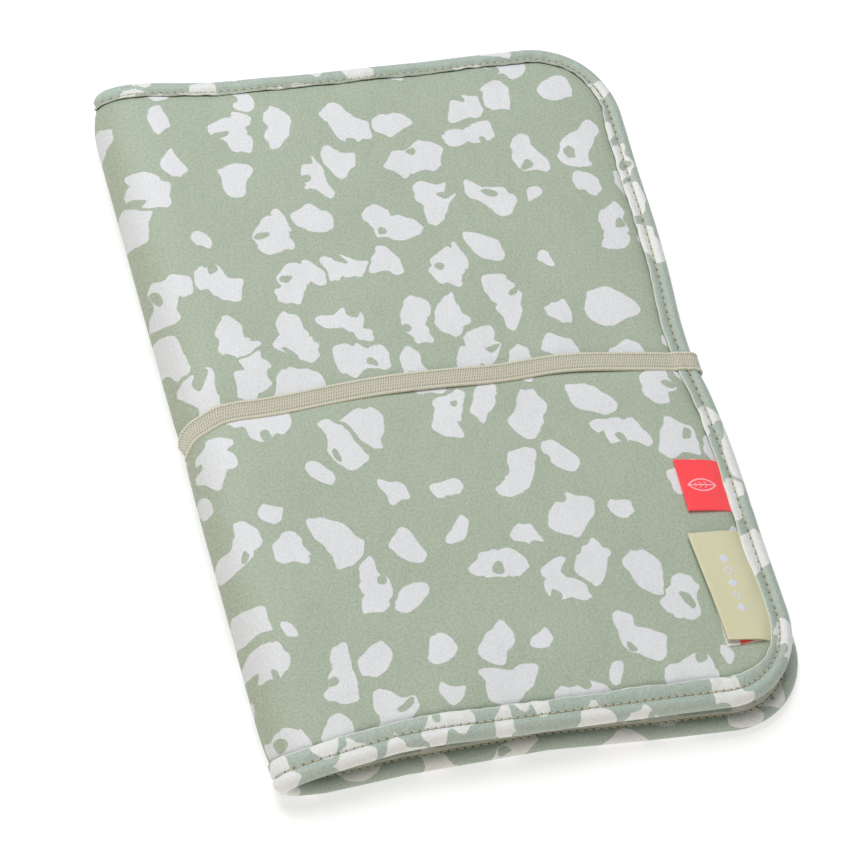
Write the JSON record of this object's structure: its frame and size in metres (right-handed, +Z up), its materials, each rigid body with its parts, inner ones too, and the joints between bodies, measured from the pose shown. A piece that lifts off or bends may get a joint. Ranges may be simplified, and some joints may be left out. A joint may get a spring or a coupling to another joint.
{
  "type": "changing pad",
  "caption": "Travel changing pad folded like a book: padded leaves in printed cloth with a sewn binding, an elastic strap, seam labels, inner pockets and a removable mat.",
  "frame": {"origin": "middle of the underside of the folded pad", "axes": "+X from the fold to the open edge, +Y along the fold, +Z up through the closed pad"},
  "size_m": [0.2112, 0.29, 0.022],
  "materials": {
    "cover_fabric": "satin woven polyester, sage with off-white blotches",
    "binding_fabric": "folded tape of the cover cloth",
    "lining_fabric": "coated wipe-clean cloth",
    "foam": "wadding, matte",
    "mat_fabric": "thin quilted cloth",
    "mesh": "open polyester net",
    "strap_elastic": "ribbed woven elastic, matte",
    "coral_tape": "woven label",
    "beige_satin": "satin label",
    "white_tape": "thin printed tape, no print"
  },
  "bodies": {
    "back_leaf": {"back_cover": "cover_fabric", "back_foam": "foam", "back_lining": "lining_fabric", "back_binding": "binding_fabric", "strap_back": "strap_elastic", "slip_pocket": "lining_fabric", "slip_pocket_hem": "binding_fabric"},
    "fold": {"fold_cover": "cover_fabric", "fold_foam": "foam", "fold_lining": "lining_fabric", "fold_binding_top": "binding_fabric", "fold_binding_bottom": "binding_fabric", "strap_fold": "strap_elastic"},
    "front_leaf": {"front_cover": "cover_fabric", "front_foam": "foam", "front_lining": "lining_fabric", "front_binding": "binding_fabric", "strap_front": "strap_elastic", "care_label": "white_tape", "size_tag": "coral_tape", "mesh_pocket": "mesh", "mesh_pocket_hem": "binding_fabric"},
    "strap_loop": {"strap_end": "strap_elastic"},
    "coral_tab": {"coral_label": "coral_tape"},
    "beige_tab": {"beige_label": "beige_satin"},
    "mat": {"folded_mat": "mat_fabric"}
  },
  "joints": [
    {"name": "pad_unfold", "type": "hinge", "parent": "back_leaf", "child": "fold", "pos_m": [-0.10323, 0, 0.00236], "axis": [0, -1, 0], "range_deg": [0, 90]},
    {"name": "cover_unfold", "type": "hinge", "parent": "fold", "child": "front_leaf", "pos_m": [-0.10323, 0, 0.01963], "axis": [0, -1, 0], "range_deg": [0, 91.66]},
    {"name": "strap_release", "type": "hinge", "parent": "front_leaf", "child": "strap_loop", "pos_m": [0.1016, 0, 0.0165], "axis": [0, -1, 0], "range_deg": [0, 90]},
    {"name": "coral_label_lift", "type": "hinge", "parent": "front_leaf", "child": "coral_tab", "pos_m": [0.0924, -0.0567, 0.01705], "axis": [0, 1, 0], "range_deg": [0, 100]},
    {"name": "beige_label_lift", "type": "hinge", "parent": "front_leaf", "child": "beige_tab", "pos_m": [0.0924, -0.0985, 0.01805], "axis": [0, 1, 0], "range_deg": [0, 100]},
    {"name": "mat_slide", "type": "slide", "parent": "back_leaf", "child": "mat", "axis": [0, 1, 0], "range_m": [0, 0.26]}
  ],
  "couplings": [
    {"joint": "cover_unfold", "follows": "pad_unfold", "ratio": 1.0179},
    {"joint": "strap_release", "follows": "pad_unfold", "ratio": 1}
  ]
}
